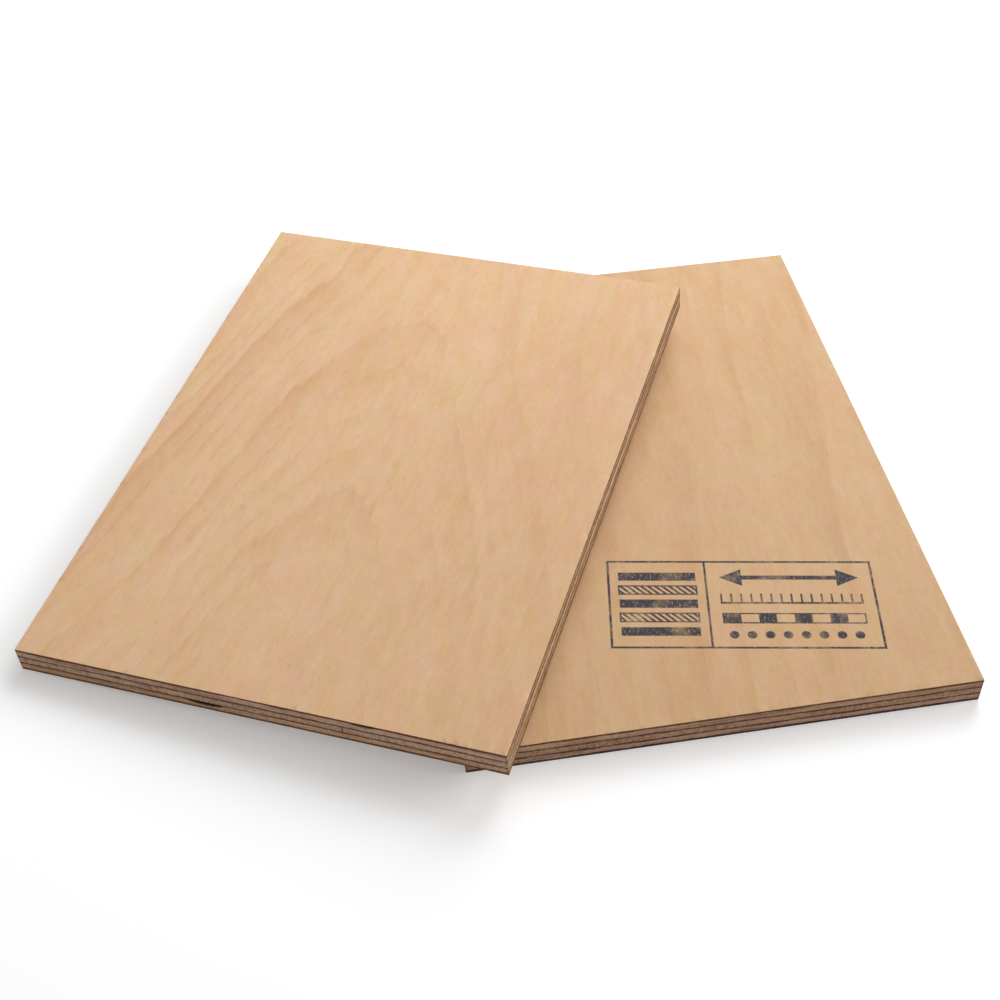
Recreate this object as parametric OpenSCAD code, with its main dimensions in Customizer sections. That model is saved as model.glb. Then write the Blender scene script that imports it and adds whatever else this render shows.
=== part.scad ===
// Stack of two equal plywood sheets, the upper one lying across the left edge of the lower one.
// Each sheet is five veneers, glued face to face with the grain crossed from one to the next.
// Millimetres. The origin is the middle of the lower sheet's underside, +X runs across that
// sheet, +Y along its face grain from the front edge to the back edge, and +Z up.

/* [Sheet] */
// Width of each sheet, across the face grain
sheet_w = 200; // [150:1:300]
// Length of each sheet, along the face grain
sheet_l = 270; // [200:1:400]

/* [Veneers] */
// Thickness of the face veneer, the show side
face_t = 0.6; // [0.4:0.1:1.5]
// Thickness of each crossband, whose grain runs across the sheet
crossband_t = 3.6; // [2:0.1:5]
// Thickness of the core, whose grain runs along the sheet
core_t = 3.6; // [2:0.1:5]
// Thickness of the back veneer
back_t = 0.6; // [0.4:0.1:1.5]

/* [Faults on the upper sheet's front edge] */
// Width of the core's right strip, from its butt joint with the left strip to the right edge
right_strip_w = 64; // [20:0.5:100]
// Gap left open at that butt joint
core_joint_gap = 0.4; // [0.2:0.1:2]
// Distance from the left edge to the middle of the lost splinter
splinter_x = 79.5; // [20:0.5:130]
// Length of the lost splinter, along the front edge
splinter_w = 14; // [6:0.5:30]
// Height of the lost splinter at its middle
splinter_h = 1.2; // [0.6:0.1:2]
// Depth of the lost splinter, in from the front edge
splinter_depth = 5; // [2:0.5:15]

/* [Fan] */
// How far the upper sheet's front right corner lies in from the lower sheet's left edge
corner_inset = 14; // [5:0.5:40]
// How far the same corner reaches past the lower sheet's front edge
corner_overhang = 13; // [0:0.5:30]
// Turn of the upper sheet about that corner, clockwise from above
turn = 27.3; // [10:0.1:35]

/* [Hidden] */
$fn = 180;

// Height of each veneer's underside above the underside of its sheet
bottom_crossband_z = back_t;
core_z = bottom_crossband_z + crossband_t;
top_crossband_z = core_z + core_t;
face_z = top_crossband_z + crossband_t;
sheet_t = face_z + face_t;

// How far the upper sheet's front left corner, and its middle, lie out past the lower sheet's left edge
corner_past_edge = sheet_w * cos(turn) - corner_inset;
middle_past_edge = corner_past_edge - (sheet_w * cos(turn) + sheet_l * sin(turn)) / 2;

// The upper sheet lies level while its middle is over the lower one. Past the edge it tips
// until its front left corner meets the floor.
lean = middle_past_edge > 0 ? asin(sheet_t / corner_past_edge) : 0;

// The splinter tapers to nothing at both ends, so its underside is an arc
splinter_r = (pow(splinter_w / 2, 2) + pow(splinter_h, 2)) / (2 * splinter_h);
// How far a cut starts in front of the edge that it opens
cut_past = 1;

face_colour = [0.85, 0.69, 0.50];
crossband_colour = [0.53, 0.40, 0.34];
core_colour = [0.56, 0.48, 0.41];
back_colour = [0.72, 0.56, 0.42];

// A sheet is drawn with its front left corner at the origin and its underside at z = 0

// Lower sheet's place: flat, with the middle of its underside at the origin
module flat_on_floor()
    translate([-sheet_w / 2, -sheet_l / 2, 0])
    children();

// Upper sheet's place: turned about its front right corner, then tipped over the lower sheet's left top edge
module across_lower_sheet()
    translate([-sheet_w / 2, 0, sheet_t])
    rotate([0, -lean, 0])
    translate([corner_inset, -sheet_l / 2 - corner_overhang, 0])
    rotate(-turn)
    translate([-sheet_w, 0, 0])
    children();

// One whole veneer of a sheet
module veneer(underside, thickness)
    translate([0, 0, underside])
    cube([sheet_w, sheet_l, thickness]);

// One strip of a core that is laid in two
module core_strip(left, right)
    translate([left, 0, core_z])
    cube([right - left, sheet_l, core_t]);

// The splinter that is lost from the top of a bottom crossband, at the front edge
module lost_splinter()
    translate([splinter_x, -cut_past, core_z - splinter_h + splinter_r])
    rotate([-90, 0, 0])
    cylinder(r = splinter_r, h = cut_past + splinter_depth);

module lower_back_veneer()
    color(back_colour) flat_on_floor() veneer(0, back_t);

module lower_bottom_crossband()
    color(crossband_colour) flat_on_floor() veneer(bottom_crossband_z, crossband_t);

module lower_core_veneer()
    color(core_colour) flat_on_floor() veneer(core_z, core_t);

module lower_top_crossband()
    color(crossband_colour) flat_on_floor() veneer(top_crossband_z, crossband_t);

module lower_face_veneer()
    color(face_colour) flat_on_floor() veneer(face_z, face_t);

module upper_back_veneer()
    color(back_colour) across_lower_sheet() veneer(0, back_t);

module upper_bottom_crossband()
    color(crossband_colour) across_lower_sheet()
    difference() {
        veneer(bottom_crossband_z, crossband_t);
        lost_splinter();
    }

module upper_core_strip_left()
    color(core_colour) across_lower_sheet() core_strip(0, sheet_w - right_strip_w - core_joint_gap);

module upper_core_strip_right()
    color(core_colour) across_lower_sheet() core_strip(sheet_w - right_strip_w, sheet_w);

module upper_top_crossband()
    color(crossband_colour) across_lower_sheet() veneer(top_crossband_z, crossband_t);

module upper_face_veneer()
    color(face_colour) across_lower_sheet() veneer(face_z, face_t);

lower_back_veneer();
lower_bottom_crossband();
lower_core_veneer();
lower_top_crossband();
lower_face_veneer();
upper_back_veneer();
upper_bottom_crossband();
upper_core_strip_left();
upper_core_strip_right();
upper_top_crossband();
upper_face_veneer();
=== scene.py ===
# %% [markdown]
# # A stack of two plywood sheets
# Two small plywood panels, one lying turned across the edge of the other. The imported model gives
# eleven plain veneers at their real size and place. This lesson models each veneer again with sawn
# edges, gives it the wood that it is cut from, and sets up a plain studio to look at the stack in.
# Everything is in metres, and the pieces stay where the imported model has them.

# %% Load the frame
import math
import random

import bpy
from mathutils import Color, Matrix, Vector


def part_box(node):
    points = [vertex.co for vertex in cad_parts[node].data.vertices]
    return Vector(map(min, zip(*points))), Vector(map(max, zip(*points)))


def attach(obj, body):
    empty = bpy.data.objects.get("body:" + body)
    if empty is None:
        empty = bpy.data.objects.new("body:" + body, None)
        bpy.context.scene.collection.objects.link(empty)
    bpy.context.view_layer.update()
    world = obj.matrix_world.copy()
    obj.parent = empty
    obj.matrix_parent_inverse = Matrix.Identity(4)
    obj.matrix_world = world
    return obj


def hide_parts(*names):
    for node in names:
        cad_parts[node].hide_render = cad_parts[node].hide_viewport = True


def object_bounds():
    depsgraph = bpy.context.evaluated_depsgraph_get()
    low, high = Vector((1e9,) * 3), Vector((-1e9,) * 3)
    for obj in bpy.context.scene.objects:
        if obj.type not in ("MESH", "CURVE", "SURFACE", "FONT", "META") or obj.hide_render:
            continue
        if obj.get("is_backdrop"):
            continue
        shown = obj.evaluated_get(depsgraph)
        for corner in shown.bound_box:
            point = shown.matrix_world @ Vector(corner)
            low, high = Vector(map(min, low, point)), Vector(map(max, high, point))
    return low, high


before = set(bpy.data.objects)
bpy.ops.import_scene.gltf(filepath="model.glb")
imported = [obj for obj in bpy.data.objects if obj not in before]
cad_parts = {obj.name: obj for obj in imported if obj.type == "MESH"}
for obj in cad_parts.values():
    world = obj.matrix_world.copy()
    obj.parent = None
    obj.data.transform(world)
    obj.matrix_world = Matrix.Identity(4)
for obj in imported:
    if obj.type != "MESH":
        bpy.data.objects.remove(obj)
cad_low, cad_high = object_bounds()
MM = 0.001
print("CAD nodes:", len(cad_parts), "box in mm:", [round(v / MM, 1) for v in cad_high - cad_low])

# %% [markdown]
# ## Where each sheet lies
# Both sheets are the same panel. The lower one lies square to the axes. The upper one is turned and
# rests with one corner on the floor, so none of its edges runs along an axis. A sheet is much easier
# to model lying square with its front left corner at the origin: x across it, y along its face grain
# and z up through its veneers. So each sheet gets a matrix that carries those axes to its place. It
# could be typed in, but reading it from the corners of the back veneer keeps it true to the model.

# %% Read the sheets' places
low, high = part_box("lower_face_veneer")
SHEET_W = high.x - low.x
SHEET_L = high.y - low.y


def sheet_place(back_veneer):
    """Matrix from a sheet's own axes to its place, read from the corners of its back veneer."""
    corners = [v.co.copy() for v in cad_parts[back_veneer].data.vertices]
    front_left = min(corners, key=lambda c: c.x + c.y + c.z)
    front_right = min(corners, key=lambda c: abs((c - front_left).length - SHEET_W))
    back_left = min(corners, key=lambda c: abs((c - front_left).length - SHEET_L))
    across = (front_right - front_left).normalized()
    along = (back_left - front_left).normalized()
    turned = Matrix((across, along, across.cross(along))).transposed()
    return Matrix.Translation(front_left) @ turned.to_4x4()


PLACES = {sheet: sheet_place(sheet + "_back_veneer") for sheet in ("lower", "upper")}
for sheet, place in PLACES.items():
    turn = [round(math.degrees(a), 2) for a in place.to_euler()]
    print(sheet, "sheet starts at", [round(v / MM, 1) for v in place.translation], "mm, turned", turn)

# %% [markdown]
# ## Lay-up
# From the bottom up a sheet is a thin back veneer, a thick crossband, the core, another crossband and
# a thin face veneer. The heights come from the lower sheet's nodes. The upper sheet has the same ones,
# and only its core differs: it is laid as two strips that butt, so the width of each node is measured
# in its own sheet.

# %% Measure the lay-up
NODE_OF_PLY = {
    "back": "lower_back_veneer",
    "bottom": "lower_bottom_crossband",
    "core": "lower_core_veneer",
    "top": "lower_top_crossband",
    "face": "lower_face_veneer",
}
PLY_HEIGHTS = {ply: [corner.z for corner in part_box(node)] for ply, node in NODE_OF_PLY.items()}


def width_in_sheet(node, sheet):
    """Lowest and highest x of a node in its sheet's own axes."""
    to_sheet = PLACES[sheet].inverted()
    across = [(to_sheet @ v.co).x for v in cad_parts[node].data.vertices]
    return min(across), max(across)


for ply, (bottom, top) in PLY_HEIGHTS.items():
    print(f"{ply:7s}{bottom / MM:5.2f} to {top / MM:5.2f} mm")

# %% [markdown]
# ## Choosing parts of a mesh
# Modelling by script is the same as by hand: choose some points, edges or faces, then use a tool. The
# model arrives with its nodes selected, so everything is deselected first. The choice is made here by
# a small test that each point, edge or face passes or fails, because a click has no place in a script.

# %% Selection helpers
def only(piece):
    """Selects one object and makes it the active one."""
    bpy.ops.object.select_all(action="DESELECT")
    piece.select_set(True)
    bpy.context.view_layer.objects.active = piece


def edit_with(piece, kind, chosen):
    """Enters edit mode with just the points, edges or faces selected that pass the test."""
    only(piece)
    mesh = piece.data
    groups = {"VERT": mesh.vertices, "EDGE": mesh.edges, "FACE": mesh.polygons}
    for group in groups.values():
        group.foreach_set("select", [False] * len(group))
    for item in groups[kind]:
        item.select = chosen(item)
    bpy.context.tool_settings.mesh_select_mode = (kind == "VERT", kind == "EDGE", kind == "FACE")
    bpy.ops.object.mode_set(mode="EDIT")


def done():
    """Leaves edit mode."""
    bpy.ops.object.mode_set(mode="OBJECT")


def middle_of(piece, edge):
    """Middle of an edge."""
    a, b = edge.vertices
    return (piece.data.vertices[a].co + piece.data.vertices[b].co) / 2


def runs_along(piece, axis, least):
    """A test for edges that run along one axis for more than the least length."""
    def test(edge):
        a, b = (piece.data.vertices[i].co for i in edge.vertices)
        return abs((a - b)[axis]) > least
    return test


print("Selection helpers ready")

# %% [markdown]
# ## A veneer with sawn edges
# A veneer is a flat block, but its edges were sawn: each arris is eased a little, and no ply is cut
# quite flush with the next. So a cube at the veneer's size gets the edges of its two big faces bevelled,
# and Inset draws a narrow border round those faces. The big faces are taken out while the walls and the
# borders are cut into short lengths. One pass of Subdivide makes a hundred cuts at the most, so two
# passes share the work. Then each big face is closed again and split into triangles, which comes out
# cleanest while the veneer lies square. Last, the points of the walls are shaken a little with Randomize.
# The fine mesh stays at the edge, where it is seen.

# %% Model a sawn veneer
SAW_TRIM = 0.10 * MM
TRIM_SPREAD = (0.7, 1.3)
EASE = 0.08 * MM
TOUCHING = EASE / 4
BORDER = 2.5 * MM
LEVEL = 0.99
SHORTEST = 4 * MM
CUTS = (2, 90)
SHAKE = 0.05 * MM


def trim(uneven, on_side):
    """What the saw takes off at a corner: along the sheet always, across it only on the sheet's own side."""
    return Vector((on_side * uneven.uniform(*TRIM_SPREAD), uneven.uniform(*TRIM_SPREAD), 0)) * SAW_TRIM


def sawn_veneer(name, low, high, seed):
    """A veneer between two corners, in its sheet's own axes, with eased and slightly uneven edges."""
    uneven = random.Random(seed)
    low = low + trim(uneven, low.x < EASE)
    high = high - trim(uneven, high.x > SHEET_W - EASE)
    middle = (low + high) / 2
    half = (high - low) / 2

    bpy.ops.object.select_all(action="DESELECT")
    bpy.ops.mesh.primitive_cube_add(size=1, location=middle)
    piece = bpy.context.object
    piece.name = name
    piece.data.name = name
    piece.scale = high - low
    bpy.ops.object.transform_apply(location=True, rotation=True, scale=True)

    edit_with(piece, "EDGE", lambda e: abs(middle_of(piece, e).z - middle.z) > half.z / 2)
    bpy.ops.mesh.bevel(offset=EASE, segments=1, affect="EDGES")
    done()
    edit_with(piece, "FACE", lambda f: abs(f.normal.z) > LEVEL)
    bpy.ops.mesh.inset(thickness=BORDER)
    bpy.ops.mesh.delete(type="ONLY_FACE")
    done()

    for cuts in CUTS:
        for axis in (0, 1):
            edit_with(piece, "EDGE", runs_along(piece, axis, SHORTEST))
            bpy.ops.mesh.subdivide(number_cuts=cuts)
            done()

    def past_side(place, inset):
        """How far a place lies outside the veneer's outline, after an inset."""
        return max(abs(place.x - middle.x) - half.x, abs(place.y - middle.y) - half.y) + inset

    for level in (low.z, high.z):
        def on_inner_border(edge):
            place = middle_of(piece, edge)
            return abs(place.z - level) < TOUCHING and past_side(place, BORDER + EASE) < TOUCHING
        edit_with(piece, "EDGE", on_inner_border)
        bpy.ops.mesh.edge_face_add()
        bpy.ops.mesh.quads_convert_to_tris()
        done()

    edit_with(piece, "VERT", lambda v: past_side(v.co, EASE / 2) > 0)
    bpy.ops.transform.vertex_random(offset=SHAKE, uniform=0.0, normal=0.0, seed=seed)
    bpy.ops.mesh.select_all(action="SELECT")
    bpy.ops.mesh.normals_make_consistent(inside=False)
    done()
    return piece


print("Edges are trimmed by about", round(SAW_TRIM / MM, 2), "mm and eased by", round(EASE / MM, 2), "mm")

# %% [markdown]
# ## Eleven veneers
# Each veneer of the two sheets is sawn on its own. One could be modelled and copied, but no two sawn
# edges are alike, and copies would show the same marks one above the other. The seed is the node's place
# in the sorted list, so the edges come out the same in each run.

# %% Saw all the veneers
VENEERS = {}
for seed, node in enumerate(sorted(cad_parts), start=1):
    sheet, ply = node.split("_")[:2]
    left, right = width_in_sheet(node, sheet)
    bottom, top = PLY_HEIGHTS[ply]
    low = Vector((left, 0, bottom))
    high = Vector((right, SHEET_L, top))
    VENEERS[node] = sawn_veneer(node + "_sawn", low, high, seed)
print(len(VENEERS), "veneers,", sum(len(v.data.polygons) for v in VENEERS.values()), "faces")

# %% [markdown]
# ## Tear-out on the face veneers
# Where a saw crosses the grain of a thin face veneer it lifts a few short splinters out of the arris.
# Each is a small dent: choose the points of the arris near one place and push them in and down, with
# proportional editing on so that the points around follow. The places come from a seeded list, so the
# dents are the same in each run. Only the two cross-cut ends get them, because a rip cut runs with the
# grain and leaves that arris clean.

# %% Dent the cross-cut ends
DENTS_PER_END = 8
DENT_WIDTH = (0.9 * MM, 1.8 * MM)
DENT_DEPTH = (0.03 * MM, 0.07 * MM)
FROM_CORNER = 4 * MM
DOWN_SHARE = 0.6
REACH_SHARE = 0.8


def dent(piece, x, y, inward, width, depth):
    """Pushes in the top arris of a face veneer at one place of an end."""
    top = PLY_HEIGHTS["face"][1]
    place = Vector((x, y, top))
    edit_with(piece, "VERT", lambda v: (v.co - place).length < width / 2)
    bpy.ops.transform.translate(
        value=(0, inward * depth, -depth * DOWN_SHARE),
        use_proportional_edit=True,
        proportional_edit_falloff="SHARP",
        proportional_size=width * REACH_SHARE,
    )
    done()


for seed, sheet in enumerate(("lower", "upper"), start=40):
    splinters = random.Random(seed)
    for y, inward in ((SAW_TRIM, 1), (SHEET_L - SAW_TRIM, -1)):
        for _ in range(DENTS_PER_END):
            x = splinters.uniform(FROM_CORNER, SHEET_W - FROM_CORNER)
            width = splinters.uniform(*DENT_WIDTH)
            depth = splinters.uniform(*DENT_DEPTH)
            dent(VENEERS[sheet + "_face_veneer"], x, y, inward, width, depth)
print("Dents on each end:", DENTS_PER_END)

# %% [markdown]
# ## The lost splinter and two small gaps
# On the front edge of the upper sheet a splinter is missing from the top of the bottom crossband, and
# there are two smaller gaps at the glue lines higher up. A gap is cut with a Boolean modifier: a sphere
# is stretched to the length, depth and height of the gap, its points are shaken, and what it covers is
# taken out of the veneer. Such a cut can leave faces too small to see, so those are dissolved. The widths
# and places were read from the photograph along that edge.

# %% Cut the gaps
ROUGHNESS = 0.12
TINY = 0.001 * MM


def lose(piece, x, height, size, seed):
    """Takes a rough-sided gap out of a veneer's front edge. The size is length, depth and height."""
    bpy.ops.object.select_all(action="DESELECT")
    bpy.ops.mesh.primitive_ico_sphere_add(subdivisions=4, radius=0.5, location=(x, 0, height))
    cutter = bpy.context.object
    cutter.scale = (size[0], size[1] * 2, size[2] * 2)
    bpy.ops.object.transform_apply(location=True, rotation=True, scale=True)
    bpy.ops.object.mode_set(mode="EDIT")
    bpy.ops.mesh.select_all(action="SELECT")
    bpy.ops.transform.vertex_random(offset=size[2] * ROUGHNESS, uniform=0.0, normal=0.0, seed=seed)
    done()
    only(piece)
    cut = piece.modifiers.new("gap", "BOOLEAN")
    cut.operation = "DIFFERENCE"
    cut.solver = "MANIFOLD"
    cut.object = cutter
    bpy.ops.object.modifier_apply(modifier=cut.name)
    bpy.data.objects.remove(cutter)
    edit_with(piece, "FACE", lambda f: True)
    bpy.ops.mesh.dissolve_degenerate(threshold=TINY)
    done()


# Veneer, distance from the sheet's left side, height, size and seed of each gap
GAPS = (
    ("upper_bottom_crossband", 79.5 * MM, PLY_HEIGHTS["bottom"][1], Vector((16, 5, 2.0)) * MM, 61),
    ("upper_top_crossband", 144.5 * MM, PLY_HEIGHTS["top"][1], Vector((12, 1.8, 1.45)) * MM, 64),
    ("upper_top_crossband", 43.9 * MM, PLY_HEIGHTS["top"][0], Vector((3.2, 1.4, 0.9)) * MM, 65),
)
for node, x, height, size, seed in GAPS:
    lose(VENEERS[node], x, height, size, seed)
    print("Gap at", round(x / MM, 1), "mm in", node, "which has", len(VENEERS[node].data.polygons), "faces")

# %% [markdown]
# ## Into place
# The veneers are finished lying square, so now each goes to its sheet's place. Applying the transform
# writes the place into the mesh and leaves the object itself at the origin, unturned and unscaled.
# Shade Smooth by Angle keeps the arrises crisp and lets the shaken walls catch light softly.

# %% Place the veneers
CREASE = math.radians(35)
for node, piece in VENEERS.items():
    only(piece)
    bpy.ops.object.shade_smooth_by_angle(angle=CREASE)
    piece.matrix_world = PLACES[node.split("_")[0]]
    bpy.ops.object.transform_apply(location=True, rotation=True, scale=True)
    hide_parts(node)
    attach(piece, "root")

# %% [markdown]
# ## Coordinates that belong to a sheet
# Wood is a solid material, so its colour should run through a veneer and come out right on every edge.
# A picture wrapped round the block would not do that. A noise in three dimensions does, if it is
# stretched along the grain. The coordinates are the object's own, turned back by a Mapping node to the
# sheet that the veneer is in, and in millimetres: x across the sheet, y along its face grain, z up.
# This small class keeps the node tree of one finish and shortens the calls that add nodes to it. A Mix
# node has sockets for numbers, vectors and colours under the same names, so those for colours go by their
# places.

# %% Node helpers
NOISE_SHIFT = (1.0, 1.7, 2.3)
FIRST_COLOUR = 6
SECOND_COLOUR = 7
MIXED_COLOUR = 2


def screen(red, green, blue):
    """A colour as it looks on a screen, 0 to 255, in the linear form that a shader takes."""
    linear = Color((red / 255, green / 255, blue / 255)).from_srgb_to_scene_linear()
    return (linear.r, linear.g, linear.b, 1.0)


class Finish:
    """A wood finish for veneers of one sheet, with coordinates in that sheet in millimetres."""

    def __init__(self, name, sheet, shift):
        self.material = bpy.data.materials.new(name)
        self.material.use_nodes = True
        self.tree = self.material.node_tree
        self.shader = self.tree.nodes["Principled BSDF"]
        self.shift = shift
        place = PLACES[sheet]
        to_sheet = self.add("ShaderNodeMapping", vector_type="TEXTURE")
        to_sheet.inputs["Location"].default_value = place.translation
        to_sheet.inputs["Rotation"].default_value = place.to_euler()
        to_sheet.inputs["Scale"].default_value = (MM, MM, MM)
        space = self.add("ShaderNodeTexCoord")
        self.feed(to_sheet.inputs["Vector"], space.outputs["Object"])
        self.place = to_sheet.outputs["Vector"]
        split = self.add("ShaderNodeSeparateXYZ")
        self.feed(split.inputs["Vector"], self.place)
        self.x, self.y, self.z = split.outputs

    def add(self, kind, **settings):
        """Adds a node and sets its properties."""
        node = self.tree.nodes.new(kind)
        for name, value in settings.items():
            setattr(node, name, value)
        return node

    def feed(self, socket, value):
        """Links a socket to an output, or sets it to a value."""
        if isinstance(value, bpy.types.NodeSocket):
            self.tree.links.new(value, socket)
        else:
            socket.default_value = value

    def math(self, operation, *values):
        """A Math node."""
        node = self.add("ShaderNodeMath", operation=operation)
        for socket, value in zip(node.inputs, values):
            self.feed(socket, value)
        return node.outputs["Value"]

    def noise(self, across, along, up, detail=2.0, rough=0.5):
        """Noise in features per millimetre for each of the sheet's axes, around zero."""
        stretch = self.add("ShaderNodeVectorMath", operation="MULTIPLY_ADD")
        self.feed(stretch.inputs[0], self.place)
        self.feed(stretch.inputs[1], (across, along, up))
        self.feed(stretch.inputs[2], [self.shift * share for share in NOISE_SHIFT])
        node = self.add("ShaderNodeTexNoise", noise_dimensions="3D")
        self.feed(node.inputs["Vector"], stretch.outputs["Vector"])
        self.feed(node.inputs["Scale"], 1.0)
        self.feed(node.inputs["Detail"], detail)
        self.feed(node.inputs["Roughness"], rough)
        return self.math("SUBTRACT", node.outputs["Fac"], 0.5)

    def ramp(self, value, low, high, start=0.0, end=1.0):
        """A soft step: start below low, end above high."""
        node = self.add("ShaderNodeMapRange", interpolation_type="SMOOTHSTEP")
        for socket, given in zip(node.inputs, (value, low, high, start, end)):
            self.feed(socket, given)
        return node.outputs["Result"]

    def mix(self, factor, first, second, mode="MIX"):
        """A Mix node for colours."""
        node = self.add("ShaderNodeMix", data_type="RGBA", blend_type=mode)
        self.feed(node.inputs["Factor"], factor)
        self.feed(node.inputs[FIRST_COLOUR], first)
        self.feed(node.inputs[SECOND_COLOUR], second)
        return node.outputs[MIXED_COLOUR]

    def total(self, *terms):
        """Sum of (weight, value) terms."""
        result = 0.0
        for weight, value in terms:
            result = self.math("MULTIPLY_ADD", value, weight, result)
        return result

    def relief(self, height, depth):
        """Bumps of the given depth, in millimetres, for a height from 0 to 1."""
        bump = self.add("ShaderNodeBump")
        bump.inputs["Strength"].default_value = 1.0
        bump.inputs["Distance"].default_value = depth * MM
        self.feed(bump.inputs["Height"], height)
        self.feed(self.shader.inputs["Normal"], bump.outputs["Normal"])


PALE_WOOD = (218, 181, 143)
print("Screen colour", PALE_WOOD, "in linear light:", [round(c, 3) for c in screen(*PALE_WOOD)[:3]])

# %% [markdown]
# ## Glue between the plies
# On a sawn edge the glue between two plies is a dark line, nearly a millimetre high and never quite even.
# It could be a strip of its own, but glue soaks into the wood on both sides and ends nowhere sharply. So
# it belongs to the finish: the nearer a place is to the height of a glue line, the darker it is. Three
# noises let the line wander, swell and fray.

# %% Glue lines
# How much further the glue reaches at the underside of each ply, in millimetres. The widest, at the bottom,
# is partly painted shadow beneath the sheet.
EXTRA_GLUE_AND_SHADOW = {"bottom": 0.35, "core": 0.0, "top": 0.0, "face": 0.15}
GLUE_LINES = [(PLY_HEIGHTS[ply][0] / MM, extra) for ply, extra in EXTRA_GLUE_AND_SHADOW.items()]
GLUE_FULL = 0.132
GLUE_GONE = 0.748
FAR_OFF = 9.0


def glue_factor(wood):
    """How much of the dark glue shows, from 0 to 1, by the height in the sheet."""
    ragged = wood.noise(0.55, 0.55, 0.9, detail=3.0)
    swell = wood.noise(0.09, 0.09, 0.3, detail=2.0)
    wander = wood.noise(0.05, 0.05, 0.12, detail=2.0)
    height = wood.total((1.0, wood.z), (0.6, wander))
    nearest = FAR_OFF
    for line, extra in GLUE_LINES:
        away = wood.math("ABSOLUTE", wood.math("SUBTRACT", height, line))
        nearest = wood.math("MINIMUM", nearest, wood.math("SUBTRACT", away, extra))
    nearest = wood.total((1.0, nearest), (0.8, ragged), (1.2, swell))
    return wood.ramp(nearest, GLUE_FULL, GLUE_GONE, 1.0, 0.0)


print("Glue lines at", [round(line, 2) for line, extra in GLUE_LINES], "mm")

# %% [markdown]
# ## Sawn edges of the inner plies
# The edge of a ply shows its grain from the side or from its end, by which way it runs. A crossband's
# grain runs across the sheet, so the front edge shows it as long brown streaks, and the core shows its
# end grain there as short flecks. On the long sides it is the other way round. One noise that is
# stretched along the ply's grain does all this. In the photograph the end grain of the crossbands is
# darker and yellower on the long sides than the core between them, so each ply has a tint for those
# sides. The tint is partly the wood's own colour and partly painted shade that holds back the right
# lamp's light on those sides. The saw has left faint upright scores, and inside a gap the wood is
# darkened as painted shade.

# %% Edge finish
GLUE_COVER = 0.93
GRAIN_STRETCH = 0.035
# Tints of the long sides by grain: partly the wood's own colour, partly painted shade against the right lamp
SIDE_TINTS_AND_SHADE = {"x": (0.68, 0.67, 0.54, 1.0), "y": (0.93, 0.96, 0.89, 1.0)}
SIDE_DEPTH = (0.4, 1.2)
# Painted shade inside a gap: where it starts and is full, how dark it gets, and its colour
GAP_DEPTH = (0.22, 0.75)
GAP_SHADE = 0.92
GAP_SHADE_COLOUR = screen(34, 21, 15)
EDGE_RELIEF = 0.10


def from_sides(wood):
    """Distances in from the nearest long side and from the nearest end, in millimetres."""
    from_right = wood.math("SUBTRACT", SHEET_W / MM, wood.x)
    from_back = wood.math("SUBTRACT", SHEET_L / MM, wood.y)
    return wood.math("MINIMUM", wood.x, from_right), wood.math("MINIMUM", wood.y, from_back)


def edge_finish(ply, grain, light, dark, glue, shift):
    """Finish for an inner ply, named by its sheet and place. Its grain runs along an axis of the sheet."""
    wood = Finish(ply + "_ply", ply.split("_")[0], shift)
    stretch = [GRAIN_STRETCH if axis == grain else 1.0 for axis in "xyz"]
    streaks = wood.noise(*(0.6 * share for share in stretch), detail=3.0)
    fibres = wood.noise(*(1.6 * share for share in stretch), detail=2.0, rough=0.6)
    patches = wood.noise(0.05, 0.05, 0.15, detail=3.0)
    flecks = wood.noise(0.7, 0.7, 1.0, detail=3.0, rough=0.6)
    scores = wood.noise(1.3, 1.3, 0.05, detail=2.0)
    tone = wood.total(
        (1.0, 0.42), (1.7, streaks), (1.2, fibres), (1.2, patches), (1.2, flecks), (0.5, scores),
    )
    colour = wood.mix(wood.ramp(tone, 0.0, 1.0), light, dark)
    side_gap, end_gap = from_sides(wood)
    # The long sides are tinted darker, in part as painted shade
    on_side = wood.ramp(side_gap, *SIDE_DEPTH, 1.0, 0.0)
    colour = wood.mix(on_side, colour, SIDE_TINTS_AND_SHADE[grain], mode="MULTIPLY")
    colour = wood.mix(wood.math("MULTIPLY", glue_factor(wood), GLUE_COVER), colour, glue)
    # Painted shade: the wood darkens the deeper a place lies inside a gap
    inside = wood.ramp(wood.math("MINIMUM", side_gap, end_gap), *GAP_DEPTH, 0.0, GAP_SHADE)
    colour = wood.mix(inside, colour, GAP_SHADE_COLOUR)
    wood.feed(wood.shader.inputs["Base Color"], colour)
    wood.shader.inputs["Roughness"].default_value = 0.82
    wood.shader.inputs["Specular IOR Level"].default_value = 0.25
    wood.relief(wood.total((0.5, scores), (0.6, fibres), (1.0, 0.5)), EDGE_RELIEF)
    return wood.material


# Grain, light wood, dark wood, glue and noise shift of each inner ply
INNER_PLIES = {
    "upper_top": ("x", screen(207, 170, 145), screen(152, 116, 93), screen(88, 44, 14), 3.1),
    "upper_core": ("y", screen(203, 170, 143), screen(148, 117, 92), screen(92, 58, 36), 9.4),
    "upper_bottom": ("x", screen(211, 167, 132), screen(153, 112, 80), screen(100, 66, 42), 15.8),
    "lower_top": ("x", screen(193, 155, 126), screen(140, 104, 81), screen(86, 44, 16), 21.2),
    "lower_core": ("y", screen(184, 147, 116), screen(134, 99, 73), screen(82, 46, 24), 27.7),
    # The lower bottom crossband's glue is darker than the others: painted shadow along the floor beneath the
    # sheet
    "lower_bottom": ("x", screen(192, 153, 130), screen(137, 102, 81), screen(46, 25, 14), 33.3),
}
FINISHES = {ply: edge_finish(ply, *recipe) for ply, recipe in INNER_PLIES.items()}
print("Edge finishes:", ", ".join(FINISHES))
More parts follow.
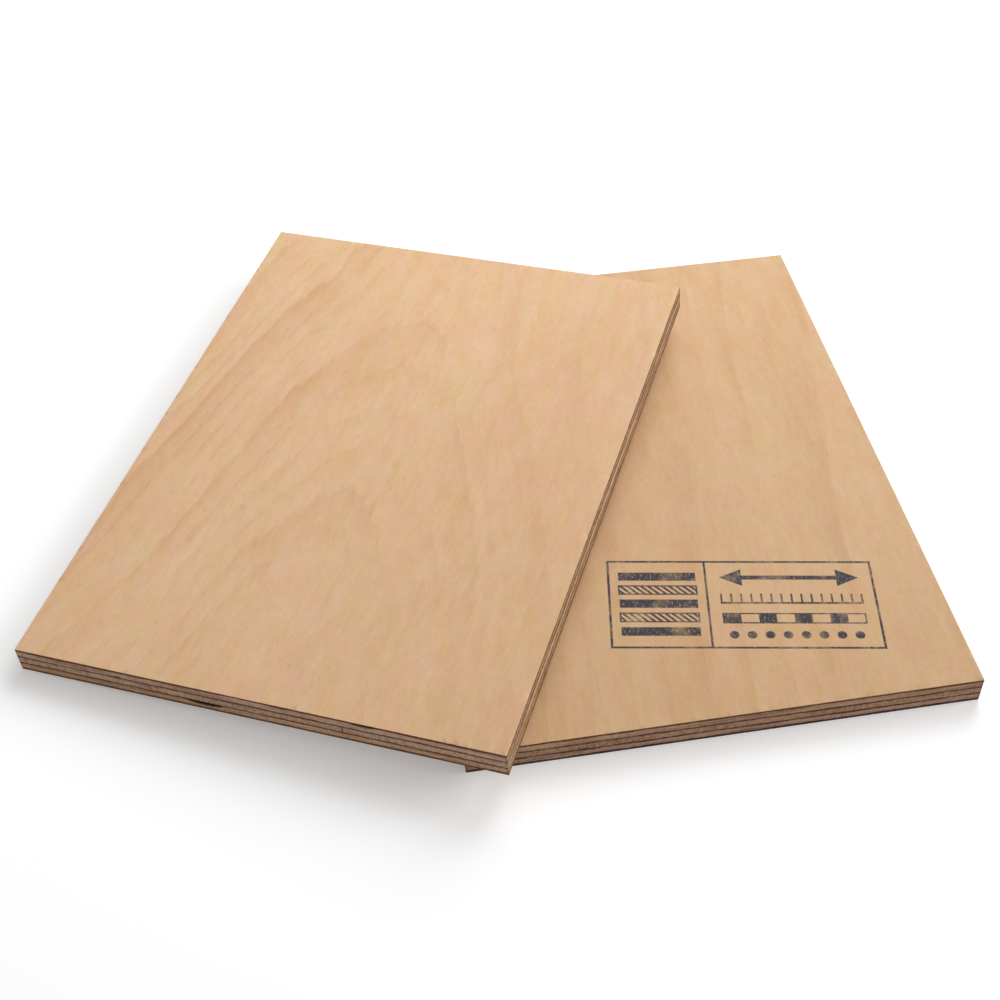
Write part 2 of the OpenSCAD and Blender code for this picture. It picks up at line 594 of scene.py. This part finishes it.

# %% [markdown]
# ## Growth rings
# A face veneer is peeled from a log in one long turn, so its growth rings show as broad arches on one
# sheet and as nearly straight bands on the other. A Wave texture has rings too, but not in this shape. An
# arch is round at its top and has nearly straight flanks, which is what a hyperbola does, so the arches
# are level lines of one. They fade to the right, where the face is also darkened a little as painted
# shade. The straight bands are level lines of x with a slant. Both sway with a slow noise.

# %% Figure of the wood
RING_DARKENS = 0.45
RING_LINE = 0.95
ARCH_AXIS = 100.0
ARCH_LEAN = -0.06
ARCH_STEEPNESS = 3.9
ARCH_ROUNDNESS = 140.0
ARCH_FADE = (30.0, 120.0)
ARCH_FAINTEST = 0.5
# Painted shade: the upper face darkens towards its right side, between these distances from the left
RIGHT_SHADE_SPAN = (60.0, 200.0)
RIGHT_SHADE_MOST = 0.17
BAND_SLANT = -0.15
BAND_STRENGTH = 0.8


def rings(wood, level, spacing, line_at):
    """Growth rings from 0 to 1: each darkens slowly and ends at a crisp line, one of them at line_at."""
    grown = wood.math("FRACT", wood.math("MULTIPLY_ADD", level, 1 / spacing, -line_at / spacing))
    darker = wood.ramp(grown, RING_DARKENS, RING_LINE)
    return wood.math("MULTIPLY", darker, wood.ramp(grown, RING_LINE, 1.0, 1.0, 0.0))


def arched(wood):
    """The level lines of arches in millimetres, their strength, and painted shade towards the right side."""
    sway = wood.noise(0.012, 0.006, 0.0, detail=1.0)
    slow = wood.noise(0.03, 0.010, 0.0, detail=2.0)
    feathered = wood.noise(0.20, 0.03, 0.0, detail=2.0)
    axis = wood.math("MULTIPLY_ADD", wood.y, ARCH_LEAN, ARCH_AXIS)
    away = wood.math("SUBTRACT", wood.total((1.0, wood.x), (40.0, sway)), axis)
    rise = wood.math("MULTIPLY", away, ARCH_STEEPNESS)
    flank = wood.math("SQRT", wood.math("MULTIPLY_ADD", rise, rise, ARCH_ROUNDNESS ** 2))
    level = wood.total(
        (1.0, wood.y), (1.0, flank), (34.0, slow), (24.0, feathered), (1.0, -ARCH_ROUNDNESS),
    )
    strength = wood.ramp(wood.x, *ARCH_FADE, 1.0, ARCH_FAINTEST)
    return level, strength, wood.ramp(wood.x, *RIGHT_SHADE_SPAN, 0.0, RIGHT_SHADE_MOST)


def straight(wood):
    """The level lines of straight bands in millimetres, their strength, and no painted shade."""
    sway = wood.noise(0.010, 0.004, 0.0, detail=1.0)
    return wood.total((1.0, wood.x), (BAND_SLANT, wood.y), (30.0, sway)), BAND_STRENGTH, 0.0


print("Arches round", ARCH_AXIS, "mm from the left side, bands with a slant of", BAND_SLANT)

# %% [markdown]
# ## Face and back veneers
# The wood is pale and sanded, and its figure is faint: a ring darkens by a few hundredths, turns a little
# pink and ends at a crisp line. Blotches of pink and yellow, fine fibres and short pores lie over the
# rings, all of them longer along the grain than across it. Sanding has left next to no relief. The
# veneer's sawn edge is dark with glue, so the finish turns dark a tenth of a millimetre in from the
# outside. On the back veneers that dark edge is also painted shadow beneath the sheet, nearly black on
# the lower sheet. The backs, which the photograph doesn't show, are a little browner.

# %% Face finish
PINK = (1.0, 0.905, 0.90, 1.0)
YELLOW = (0.97, 0.985, 0.83, 1.0)
# Tint, most cover, and features per millimetre across and along the grain
BLOTCHES = (
    (PINK, 0.3, (0.016, 0.011)),
    (PINK, 0.9, (0.14, 0.05)),
    (YELLOW, 0.9, (0.17, 0.06)),
)
FACE_RELIEF = 0.02
SHEET_TOP = PLY_HEIGHTS["face"][1] / MM
SHEET_BOTTOM = PLY_HEIGHTS["back"][0] / MM
SAWN_FROM = (0.05, 0.16)
FACE_EDGE = screen(90, 46, 16)
# Dark sawn edges of the back veneers: glue, and painted shadow beneath the sheet, nearly black on the lower
# one
BACK_EDGES_AND_SHADOW = {"upper": screen(66, 43, 29), "lower": screen(24, 14, 10)}


def veneer_finish(ply, lines, spacings, line_at, light, dark, shift):
    """A face or back veneer. Returns the finish and its colour, so that more can be laid over it."""
    wood = Finish(ply, ply.split("_")[0], shift)
    # The third value is painted shade, which darkens the tone
    level, strength, right_shade = lines(wood)
    wide, narrow = spacings
    broad = wood.ramp(wood.noise(0.02, 0.010, 0.0), -0.15, 0.15, 0.2, 1.0)
    broken = wood.ramp(wood.noise(0.05, 0.014, 0.0, detail=3.0), -0.12, 0.15, 0.0, 1.0)
    wide_rings = wood.math("MULTIPLY", broad, rings(wood, level, wide, line_at))
    narrow_rings = wood.math("MULTIPLY", broken, rings(wood, level, narrow, line_at))
    figure = wood.math("MULTIPLY", strength, wood.total((0.18, wide_rings), (0.16, narrow_rings)))
    streaks = wood.noise(0.16, 0.006, 0.0, detail=3.0)
    patches = wood.noise(0.028, 0.014, 0.0, detail=3.0)
    mottle = wood.noise(0.45, 0.22, 0.0, detail=4.0, rough=0.65)
    fibres = wood.noise(1.3, 0.05, 0.0, detail=3.0, rough=0.6)
    pores = wood.ramp(wood.noise(1.5, 0.30, 0.0, detail=1.0), 0.19, 0.29)
    tone = wood.total(
        (1.0, 0.40), (1.0, right_shade), (1.0, figure), (0.18, streaks), (0.20, patches),
        (0.45, mottle), (0.26, fibres), (0.40, pores),
    )
    colour = wood.mix(wood.ramp(tone, 0.0, 1.0), light, dark)
    colour = wood.mix(figure, colour, PINK, mode="MULTIPLY")
    for tint, most, features in BLOTCHES:
        blotches = wood.ramp(wood.noise(*features, 0.0, detail=3.0), -0.2, 0.2, 0.0, most)
        colour = wood.mix(blotches, colour, tint, mode="MULTIPLY")
    wood.shader.inputs["Roughness"].default_value = 0.62
    wood.shader.inputs["Specular IOR Level"].default_value = 0.3
    wood.relief(wood.total((0.6, fibres), (-0.5, pores), (1.0, 0.6)), FACE_RELIEF)
    return wood, colour


def show(wood, colour, edge, outside):
    """Gives the shader the colour at the height of the outside, and the dark sawn edge further in, which on
    a back veneer is partly painted shadow.
    """
    depth = wood.math("ABSOLUTE", wood.math("SUBTRACT", wood.z, outside))
    sawn = wood.ramp(depth, *SAWN_FROM)
    wood.feed(wood.shader.inputs["Base Color"], wood.mix(sawn, colour, edge))


upper_face, upper_colour = veneer_finish(
    "upper_face", arched, spacings=(110.0, 27.0), line_at=117.0,
    light=screen(236, 202, 165), dark=screen(212, 173, 134), shift=41.0,
)
show(upper_face, upper_colour, FACE_EDGE, SHEET_TOP)
FINISHES["upper_face"] = upper_face.material
for sheet, shift in (("upper", 67.0), ("lower", 71.0)):
    back, back_colour = veneer_finish(
        sheet + "_back", straight, spacings=(48.0, 19.0), line_at=10.0,
        light=screen(212, 172, 134), dark=screen(176, 134, 98), shift=shift,
    )
    show(back, back_colour, BACK_EDGES_AND_SHADOW[sheet], SHEET_BOTTOM)
    FINISHES[sheet + "_back"] = back.material
print("Finishes so far:", ", ".join(FINISHES))

# %% [markdown]
# ## An ink mark on the lower sheet
# The lower sheet carries a mark in blue-black ink. It is a plain one, drawn for this lesson: a ruled frame
# in two columns, with the lay-up drawn as five bars on the left, and on the right a two-headed arrow, a
# ruler, a chequered scale and a row of dots. It could be a picture, but shapes stay sharp at any size. Each
# shape is worked out from the distance to a rectangle, which a few Math nodes give.

# %% Shapes in ink
MARK_AT = (120.0, 53.0, 0.0)
MARK_TURN = math.radians(-10.0)
MARK_HALF = (53.0, 22.5)
SOFT = 0.2


def mark_axes(wood):
    """The mark's own two axes, in millimetres from its middle."""
    turned = wood.add("ShaderNodeMapping", vector_type="TEXTURE")
    turned.inputs["Location"].default_value = MARK_AT
    turned.inputs["Rotation"].default_value = (0.0, 0.0, MARK_TURN)
    wood.feed(turned.inputs["Vector"], wood.place)
    split = wood.add("ShaderNodeSeparateXYZ")
    wood.feed(split.inputs["Vector"], turned.outputs["Vector"])
    return split.outputs["X"], split.outputs["Y"]


def within(wood, value, limit):
    """1 where a value is under a limit and 0 where it is over, with a soft change between."""
    return wood.ramp(value, limit - SOFT, limit + SOFT, 1.0, 0.0)


def past(wood, axes, middle, half):
    """Distance outside a rectangle, negative inside it."""
    sides = []
    for axis, at, reach in zip(axes, middle, half):
        away = wood.math("ABSOLUTE", wood.math("SUBTRACT", axis, at))
        sides.append(wood.math("SUBTRACT", away, reach))
    return wood.math("MAXIMUM", *sides)


def filled(wood, axes, middle, half):
    """A filled rectangle."""
    return within(wood, past(wood, axes, middle, half), 0.0)


def ruled(wood, axes, middle, half, line):
    """The outline of a rectangle."""
    return within(wood, wood.math("ABSOLUTE", past(wood, axes, middle, half)), line / 2)


def repeated(wood, along, pitch, share):
    """Stripes across a direction: ink for a share of each pitch."""
    return within(wood, wood.math("PINGPONG", along, pitch / 2), pitch * share / 2)


print("Mark of", 2 * MARK_HALF[0], "by", 2 * MARK_HALF[1], "mm at", MARK_AT[:2])

# %% [markdown]
# ## Left column of the mark
# Five bars stand for the five veneers of a sheet. The two crossbands are hatched, because their grain runs
# the other way: such a bar is its outline and, inside it, slanting stripes.

# %% Left column
FRAME_LINE = 1.0
THIN_LINE = 0.7
DIVIDER_AT = -14.0
DIVIDER_HALF = 0.45
BARS_AT = -33.5
BARS_HALF = (15.5, 2.2)
BARS_APART = 7.2
HATCH_PITCH = 2.8


def lay_up(wood, axes):
    """The frame, its divider, and a bar for each ply, with those of the crossbands hatched."""
    shapes = [ruled(wood, axes, (0, 0), MARK_HALF, FRAME_LINE)]
    shapes.append(filled(wood, axes, (DIVIDER_AT, 0), (DIVIDER_HALF, MARK_HALF[1])))
    hatching = repeated(wood, wood.math("ADD", *axes), HATCH_PITCH, 0.5)
    for step in (-2, -1, 0, 1, 2):
        middle = (BARS_AT, step * BARS_APART)
        bar = filled(wood, axes, middle, BARS_HALF)
        if step in (-1, 1):
            shapes.append(ruled(wood, axes, middle, BARS_HALF, THIN_LINE))
            bar = wood.math("MULTIPLY", hatching, bar)
        shapes.append(bar)
    return shapes


print("Bars:", BARS_APART, "mm apart")

# %% [markdown]
# ## Right column of the mark
# An arrowhead is a wedge: the further a place is from the tip, the higher the ink reaches. Ticks, cells
# and dots repeat, and one by one they would take dozens of nodes. The Ping-Pong operation lets a distance
# run to and fro, so one shape does for the whole row.

# %% Right column
RIGHT_AT = 19.5
RIGHT_HALF = 28.0
ARROW_AT = 14.0
SHAFT_HALF = (21.0, 1.1)
HEAD_HALF = (4.5, 5.0)
HEAD_SLOPE = 0.5
RULER_AT = 0.5
RULER_HALF = (28.4, 0.5)
TICKS_AT = 2.8
TICKS_HALF = (28.4, 2.6)
TICKS_APART = 4.0
TICK_SHARE = 0.2
SCALE_AT = -7.5
SCALE_HALF = (RIGHT_HALF, 2.4)
CELL = 7.0
DOTS_AT = -16.0
DOTS_HALF = (RIGHT_HALF, 3.0)
DOTS_APART = 7.0
DOT_RADIUS = 1.9


def arrow(wood, axes):
    """An arrow with a head at both ends."""
    along, up = axes
    height = wood.math("ABSOLUTE", wood.math("SUBTRACT", up, ARROW_AT))
    shapes = [filled(wood, axes, (RIGHT_AT, ARROW_AT), SHAFT_HALF)]
    for way in (1.0, -1.0):
        tip = RIGHT_AT - way * RIGHT_HALF
        from_tip = wood.math("MULTIPLY_ADD", along, way, -tip * way)
        wedge = within(wood, wood.total((1.0, height), (-HEAD_SLOPE, from_tip)), 0.0)
        room = filled(wood, axes, (tip + way * HEAD_HALF[0], ARROW_AT), HEAD_HALF)
        shapes.append(wood.math("MULTIPLY", wedge, room))
    return shapes


def measures(wood, axes):
    """A ruler with its ticks, and under it a chequered scale."""
    from_end = wood.math("SUBTRACT", axes[0], RIGHT_AT - RIGHT_HALF)
    ticks = repeated(wood, from_end, TICKS_APART, TICK_SHARE)
    cells = repeated(wood, wood.math("SUBTRACT", from_end, CELL / 2), 2 * CELL, 0.5)
    return [
        filled(wood, axes, (RIGHT_AT, RULER_AT), RULER_HALF),
        wood.math("MULTIPLY", ticks, filled(wood, axes, (RIGHT_AT, TICKS_AT), TICKS_HALF)),
        ruled(wood, axes, (RIGHT_AT, SCALE_AT), SCALE_HALF, THIN_LINE),
        wood.math("MULTIPLY", cells, filled(wood, axes, (RIGHT_AT, SCALE_AT), SCALE_HALF)),
    ]


def dots(wood, axes):
    """A row of dots."""
    along, up = axes
    from_first = wood.math("SUBTRACT", along, RIGHT_AT + DOTS_APART / 2)
    aside = wood.math("PINGPONG", from_first, DOTS_APART / 2)
    above = wood.math("SUBTRACT", up, DOTS_AT)
    reach = wood.math("SQRT", wood.total((aside, aside), (above, above)))
    room = filled(wood, axes, (RIGHT_AT, DOTS_AT), DOTS_HALF)
    return [wood.math("MULTIPLY", within(wood, reach, DOT_RADIUS), room)]


print("Ticks:", TICKS_APART, "mm apart, cells of", CELL, "mm, dots", DOTS_APART, "mm apart")

# %% [markdown]
# ## Ink on the lower face
# Where shapes overlap there is no more ink than one of them has, so the ink is the largest of all of them.
# It is worn thin in places and breaks up along the fibres, which two noises do. Then it covers the colour
# of the wood.

# %% Mark the lower face
INK = screen(26, 27, 42)


def inked(wood):
    """How much ink lies on the sheet, from 0 to 1."""
    axes = mark_axes(wood)
    ink = 0.0
    for draw in (lay_up, arrow, measures, dots):
        for shape in draw(wood, axes):
            ink = wood.math("MAXIMUM", ink, shape)
    worn = wood.ramp(wood.noise(0.10, 0.08, 0.0, detail=4.0, rough=0.65), -0.22, 0.04, 0.5, 1.0)
    broken = wood.ramp(wood.noise(1.6, 0.5, 0.0, detail=3.0, rough=0.7), -0.20, -0.03, 0.35, 1.0)
    return wood.math("MULTIPLY", ink, wood.math("MULTIPLY", worn, broken))


lower_face, lower_colour = veneer_finish(
    "lower_face", straight, spacings=(64.0, 17.0), line_at=165.0,
    light=screen(217, 183, 144), dark=screen(192, 154, 113), shift=53.0,
)
marked = lower_face.mix(inked(lower_face), lower_colour, INK)
show(lower_face, marked, FACE_EDGE, SHEET_TOP)
FINISHES["lower_face"] = lower_face.material
print("Finishes:", ", ".join(FINISHES))

# %% [markdown]
# ## Dress the veneers
# Each veneer has one finish. The Boolean cuts may have left an empty material slot behind, so the slots
# are cleared first.

# %% Give each veneer its finish
for node, piece in VENEERS.items():
    piece.data.materials.clear()
    piece.data.materials.append(FINISHES["_".join(node.split("_")[:2])])
print("Finishes in use:", len(FINISHES))

# %% [markdown]
# ## Floor
# The stack lies on a white floor that keeps its soft shadow. Little light falls on the floor away from
# the stack, so there it would turn grey. A larger lamp would brighten the stack too, so instead the floor
# glows a little near the stack, and enough to be white further off. The Light Path node tells what kind
# of ray arrives. The glow is there only for rays that see the floor directly, in a reflection or through
# glass, so it lights nothing.

# %% Lay the floor
FLOOR_SIZE = 8.0
FLOOR_WHITE = (0.93, 0.93, 0.93, 1.0)
GLOW_NEAR = 0.25
GLOW_FAR = 0.68
GLOW_FROM = 0.35
GLOW_TO = 1.10


def seen_rays(tree):
    """1 for a ray that sees a background, and 0 for one that only carries its light."""
    path = tree.nodes.new("ShaderNodeLightPath")
    seen = path.outputs["Is Camera Ray"]
    for kind in ("Is Glossy Ray", "Is Transmission Ray"):
        either = tree.nodes.new("ShaderNodeMath")
        either.operation = "MAXIMUM"
        tree.links.new(seen, either.inputs[0])
        tree.links.new(path.outputs[kind], either.inputs[1])
        seen = either.outputs["Value"]
    return seen


bpy.ops.object.select_all(action="DESELECT")
bpy.ops.mesh.primitive_plane_add(size=FLOOR_SIZE, location=(0, 0, 0))
floor = bpy.context.object
floor.name = "floor"
paper = bpy.data.materials.new("white_floor")
paper.use_nodes = True
nodes = paper.node_tree.nodes
links = paper.node_tree.links
surface = nodes["Principled BSDF"]
surface.inputs["Base Color"].default_value = FLOOR_WHITE
surface.inputs["Roughness"].default_value = 1.0
surface.inputs["Specular IOR Level"].default_value = 0.0
surface.inputs["Emission Color"].default_value = (1, 1, 1, 1)
spot = nodes.new("ShaderNodeTexCoord")
distance = nodes.new("ShaderNodeVectorMath")
distance.operation = "LENGTH"
links.new(spot.outputs["Object"], distance.inputs[0])
fade = nodes.new("ShaderNodeMapRange")
fade.interpolation_type = "SMOOTHSTEP"
fade.inputs["From Min"].default_value = GLOW_FROM
fade.inputs["From Max"].default_value = GLOW_TO
fade.inputs["To Min"].default_value = GLOW_NEAR
fade.inputs["To Max"].default_value = GLOW_FAR
links.new(distance.outputs["Value"], fade.inputs["Value"])
glow = nodes.new("ShaderNodeMath")
glow.operation = "MULTIPLY"
links.new(seen_rays(paper.node_tree), glow.inputs[0])
links.new(fade.outputs["Result"], glow.inputs[1])
links.new(glow.outputs["Value"], surface.inputs["Emission Strength"])
floor.data.materials.append(paper)
floor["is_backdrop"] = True
print("Floor glow from", GLOW_NEAR, "at the stack to", GLOW_FAR, "past", GLOW_TO, "m")

# %% [markdown]
# ## Light
# A soft white sky lights the stack from all round. A large soft lamp above and behind it makes the far
# sides of the faces brighter and leaves the front edges darker. It is aimed past the left side, so that
# the right side isn't too bright. A second one, much further off on the right, fills the shadow beside the
# upper sheet. The sky is full white only for the rays that see it, so the background is white and the
# light on the stack stays plain.

# %% Sky and lamps
SKY_LIGHT = 0.38

world = bpy.data.worlds.new("soft_sky")
bpy.context.scene.world = world
world.use_nodes = True
nodes = world.node_tree.nodes
links = world.node_tree.links
sky = nodes["Background"]
sky.inputs["Color"].default_value = (1, 1, 1, 1)
strength = nodes.new("ShaderNodeMapRange")
strength.inputs["To Min"].default_value = SKY_LIGHT
strength.inputs["To Max"].default_value = 1.0
links.new(seen_rays(world.node_tree), strength.inputs["Value"])
links.new(strength.outputs["Result"], sky.inputs["Strength"])


def soft_lamp(name, place, aim, size, watts):
    """A square area lamp that points at a place."""
    bpy.ops.object.light_add(type="AREA", location=place)
    lamp = bpy.context.object
    lamp.name = name
    lamp.data.shape = "SQUARE"
    lamp.data.size = size
    lamp.data.energy = watts
    lamp.rotation_euler = (Vector(place) - Vector(aim)).to_track_quat("Z", "Y").to_euler()
    print(name, "of", watts, "W")


soft_lamp("back_lamp", place=(0.28, 0.58, 0.62), aim=(-0.90, 0.10, 0.0), size=0.75, watts=6.8)
soft_lamp("right_lamp", place=(3.00, -0.36, 1.60), aim=(-0.05, 0.0, 0.0), size=1.75, watts=54.0)

# %% [markdown]
# ## Camera
# The camera stands in front of the stack and a little to its left, and looks down at about 45 degrees.
# Its place, direction and lens were fitted to the corners of both sheets in the photograph. Shifting the
# lens would fit them better still, but then the stack would leave the picture when it is seen from other
# sides.

# %% Set the camera
CAMERA_AT = (-0.15053, -0.49848, 0.51470)
AZIMUTH = math.radians(-9.888)
ELEVATION = math.radians(45.301)
LENS = 60.538
SENSOR = 36.0

level = math.cos(ELEVATION)
toward = Vector((math.sin(AZIMUTH) * level, -math.cos(AZIMUTH) * level, math.sin(ELEVATION)))
bpy.ops.object.camera_add(location=CAMERA_AT)
camera = bpy.context.object
camera.rotation_euler = toward.to_track_quat("Z", "Y").to_euler()
camera.data.sensor_width = SENSOR
camera.data.lens = LENS
bpy.context.scene.camera = camera
bpy.context.scene.view_settings.view_transform = "Standard"
print("Camera at", [round(v, 4) for v in camera.location])

# %% [markdown]
# The imported model's box was kept at the start. The new veneers are trimmed by a tenth of a millimetre,
# so their box lies just inside it. Both are printed.

# %% Print the sizes
low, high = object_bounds()
for kind, size in (("CAD", cad_high - cad_low), ("visual", high - low)):
    print(kind, "box in mm:", [round(v / MM, 2) for v in size])
